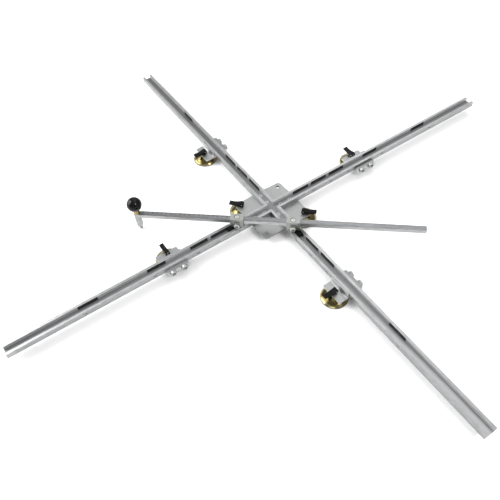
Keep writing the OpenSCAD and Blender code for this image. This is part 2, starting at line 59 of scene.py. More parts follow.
nodes = frame["nodes"]
MM = 0.001
UP = Vector((0, 0, 1))

# Rails: their direction and the direction across them, their section and the strips in their grooves
RAILS = {"x": (Vector((1, 0, 0)), Vector((0, 1, 0))), "y": (Vector((0, 1, 0)), Vector((1, 0, 0)))}
RAIL_HALF = 12.5 * MM
RAIL_TOP = 30 * MM
RAIL_BOTTOM = 18 * MM
GROOVE_HALF = 7 * MM
GROOVE_FLOOR = 22 * MM
STRIP_FIRST_END = 102 * MM
STRIP_PITCH = 50 * MM
STRIP_LENGTH = 42 * MM
STRIP_STEPS = {"x": (0, 1, 2, 4, 7), "y": (0, 1, 2, 6)}

# Trammel bar with its cutter at one end and two clamps
BAR_ANGLE = math.radians(-40.5)
BAR_DIRECTION = Vector((math.cos(BAR_ANGLE), math.sin(BAR_ANGLE), 0))
BAR_ACROSS = Vector((-math.sin(BAR_ANGLE), math.cos(BAR_ANGLE), 0))
BAR_TOP = 50 * MM
BAR_HALF = 6 * MM
CUTTER_RADIUS = 216 * MM
PIVOT_SPACING = 117 * MM
PIVOT_A = Vector((-PIVOT_SPACING * math.cos(BAR_ANGLE), 0, 0))
CLAMP_HALF_DEPTH = 9 * MM

# Cups and carriers: places from the middle, tops of the plates that the cups hang from, and the jaw bolts
PLATE_CORNER = 48 * MM
PLATE_SEAT = 18 * MM
CARRIER_PLACE = 246 * MM
CUP_OFFSET = 26 * MM
BRACKET_SEAT = 17 * MM
JAW_OUTSIDE = 21.65 * MM
BOLT_PLACE = 13 * MM
BOLT_HEIGHT = 19.5 * MM

# Cup name: axis of the cup, top of the plate that it hangs from
CUPS = {
    "left": (Vector((-PLATE_CORNER, PLATE_CORNER, 0)), PLATE_SEAT),
    "right": (Vector((PLATE_CORNER, -PLATE_CORNER, 0)), PLATE_SEAT),
    "xp": (Vector((CARRIER_PLACE, CUP_OFFSET, 0)), BRACKET_SEAT),
    "xm": (Vector((-CARRIER_PLACE, CUP_OFFSET, 0)), BRACKET_SEAT),
    "yp": (Vector((-CUP_OFFSET, CARRIER_PLACE, 0)), BRACKET_SEAT),
    "ym": (Vector((-CUP_OFFSET, -CARRIER_PLACE, 0)), BRACKET_SEAT),
}
# Carrier name: middle of its stretch of rail, turn of the rail
CARRIERS = {
    "xp": (Vector((CARRIER_PLACE, 0, 0)), 0.0),
    "xm": (Vector((-CARRIER_PLACE, 0, 0)), 0.0),
    "yp": (Vector((0, CARRIER_PLACE, 0)), math.radians(90)),
    "ym": (Vector((0, -CARRIER_PLACE, 0)), math.radians(90)),
}

# Ink: its thickness, how far it lies off a face, how bold its numbers are, the width of the seams, and
# the distance within which points are joined
INK_DEPTH = 0.02 * MM
INK_LIFT = 0.02 * MM
BOLDNESS = 0.03
SEAM_WIDTH = 0.35 * MM
WELD = 0.001 * MM

# Masks: the upward part of the normal on upright and level faces, the agreement of the bevelled and the
# true normal on faces and at edges, and the openness of free and deep places
UPRIGHT, LEVEL = 0.35, 0.75
FACE, EDGE = 0.995, 0.86
FREE, DEEP = 0.75, 0.25

# Depth of a full bump, and the angle from which an edge stays sharp
BUMP_DEPTH = 0.2 * MM
SHARP_EDGE = math.radians(35)

# Tones of the rails, whose tops and sides are painted light and shade with the Y rail's sides in darker
# painted shade, of their grooves, with painted light on the walls and painted shade at the walls' foot and
# on the floor, and of the black plastic
RAIL_TOP_PAINTED_LIGHT = (0.43, 0.435, 0.44)
RAIL_X_SIDE_PAINTED_SHADE = (0.415, 0.42, 0.425)
RAIL_Y_SIDE_PAINTED_SHADE = (0.35, 0.355, 0.36)
GROOVE_WALL_PAINTED_LIGHT = (0.90, 0.90, 0.905)
GROOVE_FLOOR_TONE = (0.42, 0.42, 0.425)
GROOVE_PAINTED_SHADE = (0.42, 0.42, 0.42)
GROOVE_METALLIC = 0.3
BLACK_PLASTIC = (0.003, 0.003, 0.0032)

# Domes: heights of the lowest and the highest colour, and the colours between them, which are the
# chromate's tint with painted reflection, dark in the middle and bright at the rim and the crown
DOME_FOOT, DOME_CROWN = 2 * MM, 14.5 * MM
DOME_TINT_AND_REFLECTION_BANDS = [
    (0.0, (0.50, 0.45, 0.28)), (0.12, (0.34, 0.29, 0.14)), (0.30, (0.045, 0.037, 0.014)),
    (0.6, (0.08, 0.065, 0.024)), (0.82, (0.20, 0.17, 0.08)), (1.0, (0.40, 0.36, 0.23))
]

# Camera that was solved from the photograph: the picture's width and the focal length in pixels, the
# sensor in millimetres, the range that it sees, and its place and directions
PHOTO_WIDTH = 500
FOCAL_PIXELS = 546.78
SENSOR_WIDTH = 36.0
CLIP_RANGE = (0.05, 20.0)
CAMERA_PLACE = Vector((-443.3, -668.4, 903.5)) * MM
CAMERA_FORWARD = Vector((0.3036, 0.5368, -0.7871)).normalized()
CAMERA_UP = Vector((0.4655, 0.6373, 0.6142))

# Studio: half the floor's side, the gap under the part, the world's strength, and the soft boxes.
# Box name: place, point that it looks at, side, power in watts, spread in degrees
FLOOR_HALF = 4.0
FLOOR_GAP = 0.5 * MM
WORLD_STRENGTH = 0.54
MIDDLE = (0, 0, 0)
SOFT_BOXES = {
    "key_box": ((-1.75, 1.4, 1.25), MIDDLE, 2.2, 75, 180),
    "glint_box": ((-1.45, 1.28, 1.66), MIDDLE, 0.5, 18, 180),
    "camera_box": ((0.25, -1.55, 1.55), MIDDLE, 0.6, 20, 180),
    "top_box": ((0.6, -0.25, 2.5), MIDDLE, 2.6, 15.5, 180),
    "back_box": ((1.2, 1.7, 2.3), MIDDLE, 3.0, 17, 180),
    "far_wash": ((1.9, 1.6, 2.2), (1.9, 1.6, 0), 2.0, 30, 90),
}


def grey(tone):
    return (tone, tone, tone)


def scaled(colour, factor):
    return [min(1.0, c * factor) for c in colour]


class Surface:
    """A material and the few node recipes that its layers are made of."""

    def __init__(self, name, colour, roughness, metallic=0.0, gloss=0.5):
        self.material = bpy.data.materials.new(name)
        self.material.use_nodes = True
        self.tree = self.material.node_tree
        self.shader = self.tree.nodes["Principled BSDF"]
        self.shader.inputs["Metallic"].default_value = metallic
        self.shader.inputs["Specular IOR Level"].default_value = gloss
        self.place = self.add("ShaderNodeTexCoord").outputs["Object"]
        self.colour = colour
        self.roughness = roughness
        self.height = None

    def add(self, kind, **settings):
        node = self.tree.nodes.new(kind)
        for key, value in settings.items():
            setattr(node, key, value)
        return node

    def feed(self, socket, value):
        """Links a socket to an output, or sets its own value."""
        if isinstance(value, bpy.types.NodeSocket):
            self.tree.links.new(value, socket)
        elif isinstance(value, (tuple, list)) and len(value) == 3 and socket.type == "RGBA":
            socket.default_value = (*value, 1.0)
        else:
            socket.default_value = value

    def math(self, operation, a, b=0.0):
        node = self.add("ShaderNodeMath", operation=operation)
        self.feed(node.inputs[0], a)
        self.feed(node.inputs[1], b)
        return node.outputs[0]

    def span(self, value, low, high, to_low=0.0, to_high=1.0):
        """Maps low..high to to_low..to_high, and stops at both ends."""
        node = self.add("ShaderNodeMapRange", clamp=True)
        for socket, number in zip(node.inputs, (value, low, high, to_low, to_high)):
            self.feed(socket, number)
        return node.outputs[0]

    def mix(self, share, below, above, blend="MIX"):
        node = self.add("ShaderNodeMix", data_type="RGBA", blend_type=blend)
        self.feed(node.inputs[0], share)
        self.feed(node.inputs[6], below)
        self.feed(node.inputs[7], above)
        return node.outputs[2]

    def mapped(self, stretch, turn, shift):
        """Coordinates turned about Z, then scaled and shifted."""
        turned = self.add("ShaderNodeVectorRotate", rotation_type="Z_AXIS")
        self.feed(turned.inputs["Vector"], self.place)
        turned.inputs["Angle"].default_value = turn
        node = self.add("ShaderNodeMapping", vector_type="POINT")
        self.feed(node.inputs["Vector"], turned.outputs[0])
        node.inputs["Scale"].default_value = stretch
        node.inputs["Location"].default_value = shift
        return node.outputs[0]

    def noise(self, scale, detail=3.0, stretch=(1, 1, 1), turn=0.0, shift=(0, 0, 0), distortion=0.0):
        node = self.add("ShaderNodeTexNoise")
        self.feed(node.inputs["Vector"], self.mapped(stretch, turn, shift))
        node.inputs["Scale"].default_value = scale
        node.inputs["Detail"].default_value = detail
        node.inputs["Distortion"].default_value = distortion
        return node.outputs["Fac"]

    def cells(self, scale):
        node = self.add("ShaderNodeTexVoronoi", feature="F1")
        self.feed(node.inputs["Vector"], self.place)
        node.inputs["Scale"].default_value = scale
        return node.outputs["Distance"]

    def bands(self, value, stops):
        """Colour by a value from 0 to 1, through a list of (position, colour)."""
        ramp = self.add("ShaderNodeValToRGB")
        self.feed(ramp.inputs[0], value)
        elements = ramp.color_ramp.elements
        while len(elements) < len(stops):
            elements.new(0.5)
        for element, (position, colour) in zip(elements, stops):
            element.position = position
            element.color = (*colour, 1.0)
        return ramp.outputs[0]

    def axis(self, index):
        node = self.add("ShaderNodeSeparateXYZ")
        self.feed(node.inputs[0], self.place)
        return node.outputs[index]

    def top_side_shade_mask(self):
        """1 on faces that look up, 0 on upright faces: the mask by which tops and sides get painted light
        and shade.
        """
        geometry = self.add("ShaderNodeNewGeometry")
        node = self.add("ShaderNodeSeparateXYZ")
        self.feed(node.inputs[0], geometry.outputs["True Normal"])
        return self.span(node.outputs[2], UPRIGHT, LEVEL)

    def bevelled_normal(self, radius):
        bevel = self.add("ShaderNodeBevel", samples=4)
        bevel.inputs["Radius"].default_value = radius
        return bevel.outputs[0]

    def edge_mask(self, radius):
        """1 on the outer and inner edges of the solid, 0 on its faces."""
        geometry = self.add("ShaderNodeNewGeometry")
        dot = self.add("ShaderNodeVectorMath", operation="DOT_PRODUCT")
        self.feed(dot.inputs[0], self.bevelled_normal(radius))
        self.feed(dot.inputs[1], geometry.outputs["Normal"])
        return self.span(dot.outputs["Value"], FACE, EDGE)

    def corner_mask(self, reach):
        """1 deep in corners and grooves, 0 in the open."""
        node = self.add("ShaderNodeAmbientOcclusion", samples=6)
        node.inputs["Distance"].default_value = reach
        return self.span(node.outputs["AO"], FREE, DEEP)

    def tint(self, share, colour, blend="MIX"):
        self.colour = self.mix(share, self.colour, colour, blend)

    def blotch(self, value, low, high, share, colour, blend="MIX"):
        """Tints by a share that grows from nothing as the value goes from low to high."""
        self.tint(self.span(value, low, high, to_high=share), colour, blend)

    def roughen(self, value, amount):
        """Adds amount times (value - 0.5) to the roughness."""
        centred = self.math("SUBTRACT", value, 0.5)
        self.roughness = self.math("ADD", self.roughness, self.math("MULTIPLY", centred, amount))

    def raise_by(self, value, amount):
        lift = self.math("MULTIPLY", value, amount)
        self.height = lift if self.height is None else self.math("ADD", self.height, lift)

    def wear(self, radius, colour, strength, polish):
        """Edges rubbed bright: another colour and roughness, broken up by noise."""
        patchy = self.span(self.noise(scale=260), 0.35, 0.65)
        rubbed = self.math("MULTIPLY", self.edge_mask(radius), self.math("MULTIPLY", patchy, strength))
        self.tint(rubbed, colour)
        self.roughness = self.math("ADD", self.roughness, self.math("MULTIPLY", rubbed, polish))

    # Painted shade: darkens corners, grooves and sockets by ambient occlusion.
    def corner_shade(self, reach, share, colour):
        self.tint(self.math("MULTIPLY", self.corner_mask(reach), share), colour)

    def scratches(self, amount, colour, turns=(0.35, -0.5)):
        """Fine straight scratches in two directions."""
        for number, turn in enumerate(turns):
            shift = (number * 3.1, 0.7, 0.2)
            lines = self.noise(scale=55, detail=1.5, stretch=(1, 26, 26), turn=turn, shift=shift)
            share = self.math("MULTIPLY", self.span(lines, 0.66, 0.74), amount)
            self.tint(share, colour)
            self.roughen(self.math("ADD", share, 0.5), 0.25)

    def groove(self, across_axis):
        """Groove in painted light and shade: pale walls that darken at their foot, and a darker floor; on
        the Y rail the floor darkens more towards +Y, and towards -Y only near the far wall. Metallic is
        lower inside.
        """
        across, along, height = self.axis(across_axis), self.axis(1 - across_axis), self.axis(2)
        blur, wall_share, floor_share = 0.05 * MM, 0.85, 0.6
        between = self.span(self.math("ABSOLUTE", across), GROOVE_HALF + blur, GROOVE_HALF - blur)
        below_rim = self.span(height, RAIL_TOP - 0.02 * MM, RAIL_TOP - 0.2 * MM)
        inside = self.math("MULTIPLY", between, below_rim)
        self.feed(self.shader.inputs["Metallic"], self.span(inside, 0.0, 1.0, 1.0, GROOVE_METALLIC))
        above_floor = self.span(height, GROOVE_FLOOR + 0.1 * MM, GROOVE_FLOOR + 0.6 * MM)
        walls = self.math("MULTIPLY", inside, above_floor)
        # Painted light: the walls are tinted pale.
        self.tint(self.math("MULTIPLY", walls, wall_share), GROOVE_WALL_PAINTED_LIGHT)
        # Painted shade: the walls darken towards their foot.
        foot = self.span(height, GROOVE_FLOOR + 2 * MM, GROOVE_FLOOR + 0.8 * MM, to_high=0.5)
        self.tint(self.math("MULTIPLY", walls, foot), GROOVE_PAINTED_SHADE, "MULTIPLY")
        floor = self.math("SUBTRACT", inside, walls)
        self.tint(self.math("MULTIPLY", floor, floor_share), GROOVE_FLOOR_TONE)
        # Painted shade on the floor: all over on the X rail; on the Y rail more towards +Y, and towards -Y
        # only near the far wall.
        if across_axis == 0:
            far_end = self.span(along, 20 * MM, 200 * MM, to_high=0.75)
            self.tint(self.math("MULTIPLY", floor, far_end), GROOVE_PAINTED_SHADE, "MULTIPLY")
            shade_edge = self.span(along, -500 * MM, -100 * MM, 1 * MM, -12 * MM)
            far_wall_shade = self.span(self.math("SUBTRACT", across, shade_edge), 0.0, 7 * MM)
            floor = self.math("MULTIPLY", floor, far_wall_shade)
        self.tint(floor, GROOVE_PAINTED_SHADE, "MULTIPLY")

    def done(self, bump=0.0, round_edges=0.0):
        """Links the layers to the shader and gives the material."""
        self.feed(self.shader.inputs["Base Color"], self.colour)
        self.feed(self.shader.inputs["Roughness"], self.roughness)
        normal = self.bevelled_normal(round_edges) if round_edges else None
        if self.height is not None and bump:
            node = self.add("ShaderNodeBump")
            node.inputs["Strength"].default_value = bump
            node.inputs["Distance"].default_value = BUMP_DEPTH
            self.feed(node.inputs["Height"], self.height)
            if normal is not None:
                self.feed(node.inputs["Normal"], normal)
            normal = node.outputs[0]
        if normal is not None:
            self.feed(self.shader.inputs["Normal"], normal)
        return self.material


def brushed_aluminium(name, top, side, roughness, turn, groove_axis=None):
    """Extruded bar: tops and sides in painted light and shade, drawn grain along one direction, soft
    stains, painted shade in corners, and a groove in painted light and shade if it has one.
    """
    skin = Surface(name, side, roughness, metallic=1.0)
    bright = scaled(top, 1.2)
    # Painted light and shade: tops take one tone and sides another.
    skin.tint(skin.top_side_shade_mask(), top)
    stains = skin.noise(scale=16, detail=4, distortion=0.6)
    skin.blotch(stains, 0.35, 0.75, share=0.4, colour=grey(0.7), blend="MULTIPLY")
    mottle = skin.noise(scale=170, stretch=(0.45, 1.8, 1.8), turn=turn, shift=(0.2, 0.6, 0.1))
    skin.blotch(mottle, 0.42, 0.66, share=0.5, colour=grey(0.62), blend="MULTIPLY")
    grain = skin.noise(scale=90, stretch=(0.25, 14, 14), turn=turn)
    skin.blotch(grain, 0.35, 0.7, share=0.4, colour=grey(0.65), blend="MULTIPLY")
    skin.roughen(grain, amount=0.22)
    skin.raise_by(grain, amount=0.5)
    die_lines = skin.noise(scale=30, detail=2, stretch=(0.05, 30, 30), turn=turn, shift=(0.4, 0.1, 0.9))
    skin.blotch(die_lines, 0.55, 0.7, share=0.3, colour=bright)
    skin.blotch(die_lines, 0.44, 0.34, share=0.7, colour=grey(0.5), blend="MULTIPLY")
    skin.scratches(amount=0.25, colour=bright, turns=(turn + 0.3, turn - 0.6))
    if groove_axis is not None:
        skin.groove(groove_axis)
    # Painted shade in corners and grooves.
    skin.corner_shade(reach=3 * MM, share=0.35, colour=grey(0.08))
    skin.wear(radius=0.4 * MM, colour=bright, strength=0.35, polish=-0.1)
    return skin.done(bump=0.25, round_edges=0.4 * MM)


def cast_or_sheet(name, top, side, roughness, pit_scale, metallic=1.0, wear=0.35):
    """Rolled sheet or die-cast metal: tops and sides in painted light and shade, fine pitting, faint
    clouds, painted shade in corners, worn edges.
    """
    skin = Surface(name, side, roughness, metallic)
    # Painted light and shade: tops take one tone and sides another.
    skin.tint(skin.top_side_shade_mask(), top)
    clouds = skin.noise(scale=28, detail=4, distortion=0.4)
    skin.blotch(clouds, 0.3, 0.75, share=0.35, colour=grey(0.82), blend="MULTIPLY")
    pits = skin.noise(scale=pit_scale, detail=4)
    skin.blotch(pits, 0.55, 0.75, share=0.35, colour=grey(0.7), blend="MULTIPLY")
    skin.roughen(pits, amount=0.25)
    skin.raise_by(pits, amount=0.7)
    skin.scratches(amount=0.25, colour=scaled(top, 1.2))
    # Painted shade in corners and recesses.
    skin.corner_shade(reach=4 * MM, share=0.5, colour=(0.07, 0.07, 0.065))
    skin.wear(radius=0.5 * MM, colour=scaled(top, 1.25), strength=wear, polish=-0.1)
    return skin.done(bump=0.3, round_edges=0.5 * MM)


def zinc_plate(name, colour):
    """Zinc on turned steel, with a slight spangle and painted shade in corners and sockets."""
    skin = Surface(name, colour, roughness=0.42, metallic=1.0)
    spangle = skin.cells(scale=420)
    skin.blotch(spangle, 0.1, 0.7, share=0.3, colour=scaled(colour, 0.85))
    tool_marks = skin.noise(scale=300, detail=2, stretch=(1, 1, 6))
    skin.roughen(tool_marks, amount=0.2)
    skin.raise_by(tool_marks, amount=0.4)
    # Painted shade in corners and sockets.
    skin.corner_shade(reach=3 * MM, share=0.7, colour=grey(0.05))
    skin.wear(radius=0.4 * MM, colour=(0.62, 0.62, 0.61), strength=0.5, polish=-0.08)
    return skin.done(bump=0.2, round_edges=0.3 * MM)


def yellow_chromate(name):
    """Passivated dome, its tint and painted reflection in bands by height: olive and brown in the middle,
    gold towards the rim and the crown; patches of mottling with painted dark reflection.
    """
    skin = Surface(name, (0.45, 0.36, 0.14), roughness=0.19, metallic=1.0)
    clouds = skin.noise(scale=38, distortion=1.2)
    waves = skin.math("MULTIPLY", skin.math("SUBTRACT", clouds, 0.5), 6 * MM)
    height = skin.math("ADD", skin.axis(2), waves)
    # Chromate tint with painted reflection: a dark band in the middle, bright bands at the rim and the
    # crown.
    skin.tint(0.9, skin.bands(skin.span(height, DOME_FOOT, DOME_CROWN), DOME_TINT_AND_REFLECTION_BANDS))
    # Chromate mottling with painted dark reflection.
    patches = skin.noise(scale=26, detail=2, shift=(0.7, 0.2, 0.4), distortion=0.8)
    skin.blotch(patches, 0.52, 0.62, share=0.5, colour=(0.28, 0.245, 0.14))
    skin.blotch(clouds, 0.6, 0.8, share=0.3, colour=(0.34, 0.38, 0.16))
    rings = skin.noise(scale=240, detail=2, stretch=(0.3, 0.3, 12))
    skin.roughen(rings, amount=0.08)
    skin.raise_by(rings, amount=0.25)
    skin.scratches(amount=0.15, colour=(0.8, 0.72, 0.48))
    skin.wear(radius=0.4 * MM, colour=(0.78, 0.72, 0.5), strength=0.5, polish=0.05)
    return skin.done(bump=0.12, round_edges=0.3 * MM)


def turned_brass(name):
    """Brass with turning marks, tarnished between its edges."""
    skin = Surface(name, (0.34, 0.27, 0.135), roughness=0.34, metallic=1.0)
    turned = skin.noise(scale=500, detail=2, stretch=(0.15, 0.15, 5))
    skin.roughen(turned, amount=0.2)
    skin.raise_by(turned, amount=0.8)
    tarnish = skin.noise(scale=120, detail=4)
    skin.blotch(tarnish, 0.4, 0.65, share=0.6, colour=(0.18, 0.14, 0.08))
    skin.wear(radius=0.5 * MM, colour=(0.50, 0.42, 0.25), strength=0.5, polish=-0.1)
    return skin.done(bump=0.3, round_edges=0.4 * MM)


def moulded_plastic(name, roughness, grain_scale):
    """Moulded black part: fine grain, dull rubs and grey scuffs on the edges."""
    skin = Surface(name, BLACK_PLASTIC, roughness, gloss=0.12)
    grain = skin.noise(scale=grain_scale)
    skin.raise_by(grain, amount=0.6)
    skin.roughen(grain, amount=0.15)
    rubs = skin.noise(scale=70, detail=4, distortion=0.8)
    skin.blotch(rubs, 0.5, 0.8, share=0.5, colour=[c * 1.9 + 0.003 for c in BLACK_PLASTIC])
    skin.roughen(rubs, amount=0.2)
    skin.scratches(amount=0.2, colour=grey(0.04))
    skin.wear(radius=0.6 * MM, colour=(0.045, 0.045, 0.046), strength=0.5, polish=0.05)
    return skin.done(bump=0.35, round_edges=0.6 * MM)


def pad_rubber(name):
    """Black rubber with a fine grain and some dust."""
    skin = Surface(name, (0.013, 0.013, 0.014), roughness=0.72)
    grain = skin.noise(scale=1400)
    skin.raise_by(grain, amount=0.8)
    dust = skin.noise(scale=90, detail=5, distortion=0.5)
    skin.blotch(dust, 0.5, 0.8, share=0.5, colour=(0.05, 0.049, 0.046))
    skin.roughen(dust, amount=0.2)
    skin.wear(radius=0.5 * MM, colour=(0.06, 0.06, 0.058), strength=0.4, polish=0.05)
    return skin.done(bump=0.4, round_edges=0.4 * MM)


def strip_black(name):
    """Thin black strips, chipped here and there so that the metal shows."""
    skin = Surface(name, (0.012, 0.012, 0.013), roughness=0.55)
    chips = skin.noise(scale=420, detail=4, stretch=(0.5, 0.5, 1))
    skin.tint(skin.span(chips, 0.66, 0.70), grey(0.20))
    skin.roughen(chips, amount=0.3)
    skin.raise_by(chips, amount=-0.6)
    return skin.done(bump=0.3)


def ball_gloss(name):
    """Polished black phenolic ball with hairline swirls."""
    skin = Surface(name, (0.0025, 0.0025, 0.0027), roughness=0.1, gloss=0.18)
    swirls = skin.noise(scale=180, detail=2, stretch=(1, 7, 7), turn=0.6, distortion=1.5)
    skin.roughen(skin.span(swirls, 0.6, 0.8), amount=0.06)
    dust = skin.noise(scale=140, detail=5)
    skin.blotch(dust, 0.62, 0.8, share=0.3, colour=grey(0.009))
    skin.raise_by(skin.noise(scale=60, detail=2), amount=0.05)
    return skin.done(bump=0.05)


def faded_ink(name, colour):
    """Ink or dirt in fine lines, and dark patches of painted shadow, faded in places."""
    skin = Surface(name, colour, roughness=0.6)
    fade = skin.noise(scale=600, detail=4)
    skin.blotch(fade, 0.45, 0.8, share=0.6, colour=grey(0.22))
    skin.roughen(fade, amount=0.3)
    skin.raise_by(fade, amount=0.4)
    return skin.done(bump=0.2)


def floor_paper(name):
    """White paper with faint fibres."""
    skin = Surface(name, grey(0.94), roughness=0.85)
    fibres = skin.noise(scale=220, detail=4)
    skin.blotch(fibres, 0.4, 0.7, share=0.1, colour=grey(0.92))
    skin.roughen(fibres, amount=0.1)
    return skin.done()


# Where a finish has a top and a side tone, the two differ as painted light and shade; the Y rail's sides
# are in darker painted shade than the X rail's.
MATERIALS = {
    "rail_x": brushed_aluminium(
        "rail_x", RAIL_TOP_PAINTED_LIGHT, RAIL_X_SIDE_PAINTED_SHADE, roughness=0.40, turn=0.0, groove_axis=1),
    "rail_y": brushed_aluminium(
        "rail_y", RAIL_TOP_PAINTED_LIGHT, RAIL_Y_SIDE_PAINTED_SHADE, roughness=0.40, turn=math.radians(90), groove_axis=0),
    "bar_aluminium": brushed_aluminium(
        "bar_brushed", (0.25, 0.255, 0.26), (0.43, 0.435, 0.44), roughness=0.36, turn=-BAR_ANGLE),
    "grey_plate": cast_or_sheet(
        "grey_plate_sheet", (0.34, 0.345, 0.345), (0.30, 0.30, 0.30), roughness=0.48, pit_scale=380),
    "clamp_metal": cast_or_sheet(
        "clamp_casting", (0.34, 0.35, 0.335), (0.28, 0.29, 0.275), roughness=0.44, pit_scale=700),
    "bracket_steel": cast_or_sheet(
        "bracket_sheet", (0.325, 0.33, 0.33), (0.46, 0.46, 0.46), roughness=0.42, pit_scale=500),
    "jaw_steel": cast_or_sheet(
        "jaw_steel", (0.25, 0.255, 0.255), (0.50, 0.50, 0.50), roughness=0.42, pit_scale=600),
    "holder_grey": cast_or_sheet(
        "holder_paint", (0.36, 0.37, 0.36), (0.34, 0.35, 0.34), roughness=0.45, pit_scale=900,
        metallic=0.55, wear=0.3),
    "head_steel": cast_or_sheet(
        "head_steel", (0.20, 0.205, 0.20), (0.20, 0.205, 0.20), roughness=0.42, pit_scale=900,
        metallic=0.8, wear=0.3),
    "zinc_steel": zinc_plate("zinc_plated", (0.34, 0.35, 0.335)),
    "zinc_bright": zinc_plate("zinc_bright", (0.52, 0.525, 0.51)),
    "screw_dull": cast_or_sheet(
        "screw_dull", (0.38, 0.38, 0.38), (0.2, 0.2, 0.2), roughness=0.4, pit_scale=800, wear=0.2),
    "yellow_chromate": yellow_chromate("dome_chromate"),
    "brass": turned_brass("turned_brass"),
    "black_rubber": pad_rubber("pad_rubber"),
    "black_plastic": moulded_plastic("lever_plastic", roughness=0.5, grain_scale=900),
    "black_shoe": moulded_plastic("shoe_nylon", roughness=0.55, grain_scale=600),
    "black_strip": strip_black("strip_black"),
    "black_gloss": ball_gloss("ball_gloss"),
}
RAIL_INK = faded_ink("engraved_ink", (0.03, 0.03, 0.032))
BAR_INK = faded_ink("bar_ink", grey(0.02))
# Dark seams where the arms meet, and painted shadow in the clamp slots.
SEAM_AND_SHADOW_INK = faded_ink("seam_shadow", grey(0.045))

# Nodes whose finish differs from the rest of their slot
OWN_FINISH = {
    "arm_screws": "screw_dull", "cutting_head": "head_steel",
    "clamp_a_screws": "zinc_bright", "clamp_b_screws": "zinc_bright"
}
for arm in CARRIERS:
    OWN_FINISH["arm_" + arm] = "rail_" + arm[0]
    OWN_FINISH["jaw_" + arm] = "jaw_steel"


def dress_solids():
    """Gives each CAD node its own finish or that of its slot."""
    for name, solid in nodes.items():
        slot = solid.material_slots[0].material.name
        solid.material_slots[0].material = MATERIALS[OWN_FINISH.get(name, slot)]


def finish_piece(name, bm, material, body, smooth=True, move=None):
    """Turns a bmesh into a piece that rides on a body."""
    bmesh.ops.recalc_face_normals(bm, faces=bm.faces)
    mesh = bpy.data.meshes.new(name)
    if move is not None:
        bm.transform(move)
    bm.to_mesh(mesh)
    bm.free()
    if smooth:
        for face in mesh.polygons:
            face.use_smooth = True
        mesh.set_sharp_from_angle(angle=SHARP_EDGE)
    mesh.materials.append(material)
    piece = bpy.data.objects.new(name, mesh)
    bpy.context.scene.collection.objects.link(piece)
    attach(piece, body)
    return piece


def lathe(bm, profile, place, steps=96, closed=True):
    """Turns a profile of (radius, height) points, in millimetres, about a vertical axis."""
    rings = []
    for radius, height in profile:
        count = steps if radius else 1
        angles = [2 * math.pi * i / count for i in range(count)]
        points = [Vector((radius * math.cos(a), radius * math.sin(a), height)) * MM for a in angles]
        rings.append([bm.verts.new(place + point) for point in points])
    pairs = list(zip(rings, rings[1:]))
    if closed:
        pairs.append((rings[-1], rings[0]))
    for low, high in pairs:
        for i in range(steps):
            j = (i + 1) % steps
            corners = [low[i % len(low)], low[j % len(low)], high[j % len(high)], high[i % len(high)]]
            bm.faces.new(list(dict.fromkeys(corners)))


def prism(bm, outline, rise):
    """Closed solid from a flat outline and the vector to its other end."""
    low = [bm.verts.new(corner) for corner in outline]
    high = [bm.verts.new(corner + rise) for corner in outline]
    bm.faces.new(low[::-1])
    bm.faces.new(high)
    for i in range(len(low)):
        j = (i + 1) % len(low)
        bm.faces.new([low[i], low[j], high[j], high[i]])


def ribbon(bm, start, end, width, normal):
    """A thin flat line from start to end, lying on a face with that normal."""
    side = (end - start).cross(normal).normalized() * (width / 2)
    prism(bm, [start - side, start + side, end + side, end - side], normal * INK_DEPTH)


def arc(centre, radius, start, end, steps=5):
    """Points of (radius, height) along an arc, angles in degrees."""
    angles = [math.radians(start + (end - start) * i / steps) for i in range(steps + 1)]
    return [(centre[0] + radius * math.cos(a), centre[1] + radius * math.sin(a)) for a in angles]


def pad_profile():
    """Half a pad's section in millimetres, from the middle of its hollow round to the floor of its bore."""
    hollow_radius, hollow_depth, steps = 24.0, 1.2, 12
    ridges, ridge_height, ridge_gap = (8, 10), 0.22, 0.06
    sphere = (hollow_radius ** 2 + hollow_depth ** 2) / (2 * hollow_depth)
    profile = []
    for i in range(steps + 1):
        radius = hollow_radius * i / steps
        height = max(0.0, hollow_depth - sphere + math.sqrt(sphere ** 2 - radius ** 2))
        if i in ridges:
            height = max(ridge_gap, height - ridge_height)
        profile.append((radius, height))
    sealing_groove = [(24.6, 0.0), (25.0, 0.22), (25.4, 0.22), (25.8, 0.0)]
    rim_groove = [(28.0, 0.95), (27.8, 1.1), (28.0, 1.25)]
    profile += sealing_groove + arc((27.4, 0.6), 0.6, -90, 0) + rim_groove + arc((27.6, 1.8), 0.4, 0, 90)
    boss = arc((9.4, 3.6), 1.4, -90, -180) + arc((7.5, 9.0), 0.5, 0, 90)
    bore = [(3.6, 9.5), (3.3, 9.2), (3.3, 3.2), (0.0, 3.2)]
    return profile + [(24.4, 2.2), (16.0, 2.2)] + boss + bore


def pads():
    """Rubber pads with a rounded lip, a grooved rim and two sealing ridges under it."""
    profile = pad_profile()
    rubber = MATERIALS["black_rubber"]
    for name, (axis, _) in CUPS.items():
        bm = bmesh.new()
        lathe(bm, profile, axis, closed=False)
        node = "pad_" + name
        piece = finish_piece("rubber_" + name, bm, rubber, nodes[node]["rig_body"])
        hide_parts(node)


def rim_lips():
    """Rubber lip that wraps each dome's rim."""
    section = [(27.3, 3.35)] + arc((27.45, 3.0), 0.5, 80, -80, steps=8) + [(27.3, 2.6)]
    for name, (axis, _) in CUPS.items():
        bm = bmesh.new()
        lathe(bm, section, axis)
        body = nodes["dome_" + name]["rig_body"]
        finish_piece("lip_" + name, bm, MATERIALS["black_rubber"], body)


def wear_washers():
    """Thin washer under each cam, round the stem."""
    section = [(3.35, 0.02), (7.0, 0.02), (7.2, 0.1), (7.0, 0.2), (3.5, 0.2), (3.35, 0.12)]
    for name, (axis, seat) in CUPS.items():
        bm = bmesh.new()
        lathe(bm, section, axis + UP * seat, steps=64)
        body = nodes["dome_" + name]["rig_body"]
        finish_piece("washer_" + name, bm, MATERIALS["zinc_steel"], body, smooth=False)


